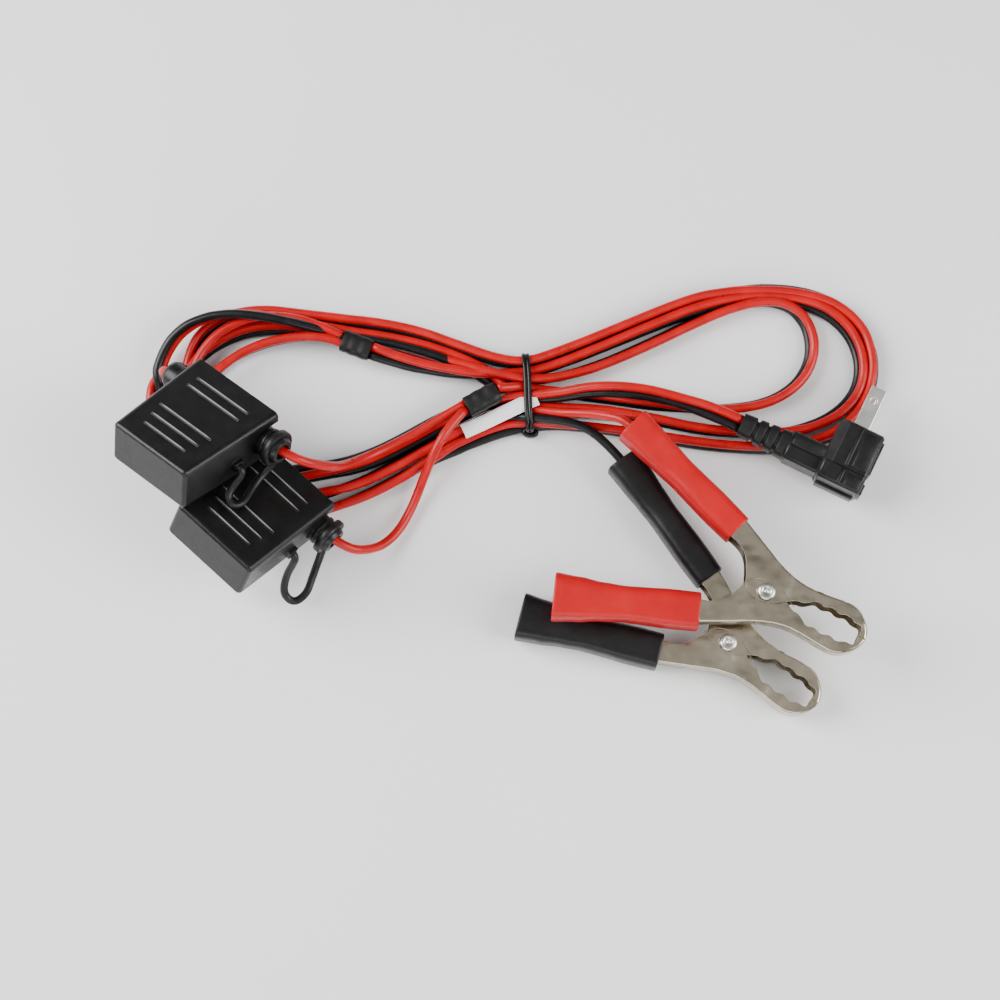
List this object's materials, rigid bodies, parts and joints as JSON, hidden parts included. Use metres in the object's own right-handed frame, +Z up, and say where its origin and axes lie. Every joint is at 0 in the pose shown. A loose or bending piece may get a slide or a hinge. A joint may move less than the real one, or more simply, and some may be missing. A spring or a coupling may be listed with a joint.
{
  "type": "battery charging lead",
  "caption": "Folded red and black battery lead with an angled blade plug, inline fuse holders and spring clips for the battery posts.",
  "frame": {"origin": "on the surface that the lead lies on, under the middle of the box round the clips and the fuse holders", "axes": "+X along the folded cable from the fuse holders to the clips, +Y from the clips to the cable, +Z up"},
  "size_m": [0.2428, 0.1397, 0.0573],
  "materials": {
    "nickel_steel": "bright nickel plate, a little warm, with fine press marks",
    "rivet_steel": "plated, domed and dimpled",
    "spring_steel": "drawn spring wire",
    "red_grip": "dipped soft PVC, satin gloss",
    "black_grip": "dipped soft PVC, satin gloss",
    "holder_plastic": "fine spark-eroded texture",
    "tether_rubber": "moulded soft strap, satin",
    "fuse_plastic": "clear tinted nylon",
    "terminal_metal": "tinned brass",
    "cable_red": "glossy PVC insulation",
    "cable_black": "glossy PVC insulation",
    "sleeve_rubber": "heat-shrink tube, satin",
    "tie_plastic": "plastic-covered wire",
    "label_paper": "blank white label",
    "plug_plastic": "fine texture",
    "relief_rubber": "soft moulded PVC",
    "blade_metal": "nickel-plated brass blades"
  },
  "bodies": {
    "root": {"red_clip_fixed_jaw": "nickel_steel", "red_clip_rivet": "rivet_steel", "red_clip_spring": "spring_steel", "red_clip_lead_crimp": "terminal_metal", "red_clip_fixed_grip": "red_grip", "black_clip_fixed_jaw": "nickel_steel", "black_clip_rivet": "rivet_steel", "black_clip_spring": "spring_steel", "black_clip_lead_crimp": "terminal_metal", "black_clip_fixed_grip": "black_grip", "fuse_a_base": "holder_plastic", "fuse_a_tether": "tether_rubber", "fuse_a_terminals": "terminal_metal", "fuse_b_base": "holder_plastic", "fuse_b_tether": "tether_rubber", "fuse_b_terminals": "terminal_metal", "plug_front_shell": "plug_plastic", "plug_rear_cover": "plug_plastic", "plug_flat_blade": "blade_metal", "plug_upright_blade": "blade_metal", "plug_strain_relief": "relief_rubber", "folded_cable_left": "cable_red", "folded_cable_right": "cable_red", "fuse_lead_a_in": "cable_red", "fuse_lead_a_out": "cable_red", "fuse_lead_b_in": "cable_red", "fuse_lead_b_out": "cable_red", "red_clip_lead": "cable_red", "black_clip_lead": "cable_black", "plug_cable": "cable_red", "splice_a_sleeve": "sleeve_rubber", "splice_b_sleeve": "sleeve_rubber", "splice_a_crimps": "terminal_metal", "splice_b_crimps": "terminal_metal", "wire_tie": "tie_plastic", "label": "label_paper"},
    "red_jaw": {"red_clip_moving_jaw": "nickel_steel", "red_clip_moving_grip": "red_grip"},
    "black_jaw": {"black_clip_moving_jaw": "nickel_steel", "black_clip_moving_grip": "black_grip"},
    "cap_a": {"fuse_a_cap": "holder_plastic"},
    "cap_b": {"fuse_b_cap": "holder_plastic"},
    "fuse_a": {"fuse_a_blade_fuse_metal": "terminal_metal", "fuse_a_blade_fuse_body": "fuse_plastic"},
    "fuse_b": {"fuse_b_blade_fuse_metal": "terminal_metal", "fuse_b_blade_fuse_body": "fuse_plastic"}
  },
  "joints": [
    {"name": "red_jaw_hinge", "type": "hinge", "parent": "root", "child": "red_jaw", "pos_m": [0.086, -0.0185, 0.0207], "axis": [0, 0, -1], "range_deg": [0, 35], "stiffness_Nm_per_rad": 0.4, "springref_deg": -40.11, "deforming": ["red_clip_spring"]},
    {"name": "black_jaw_hinge", "type": "hinge", "parent": "root", "child": "black_jaw", "pos_m": [0.075, -0.0327, 0.0068], "axis": [0, 0, -1], "range_deg": [0, 35], "stiffness_Nm_per_rad": 0.4, "springref_deg": -40.11, "deforming": ["black_clip_spring"]},
    {"name": "cap_a_pull", "type": "slide", "parent": "root", "child": "cap_a", "axis": [-0.6409, -0.597, 0.4826], "range_m": [0, 0.036], "deforming": ["fuse_a_tether"]},
    {"name": "fuse_a_pull", "type": "slide", "parent": "root", "child": "fuse_a", "axis": [-0.6409, -0.597, 0.4826], "range_m": [0, 0.0144]},
    {"name": "cap_b_pull", "type": "slide", "parent": "root", "child": "cap_b", "axis": [-0.5941, -0.6419, 0.4848], "range_m": [0, 0.036], "deforming": ["fuse_b_tether"]},
    {"name": "fuse_b_pull", "type": "slide", "parent": "root", "child": "fuse_b", "axis": [-0.5941, -0.6419, 0.4848], "range_m": [0, 0.0144]}
  ],
  "couplings": [
    {"joint": "fuse_a_pull", "follows": "cap_a_pull", "ratio": 0.4},
    {"joint": "fuse_b_pull", "follows": "cap_b_pull", "ratio": 0.4}
  ]
}
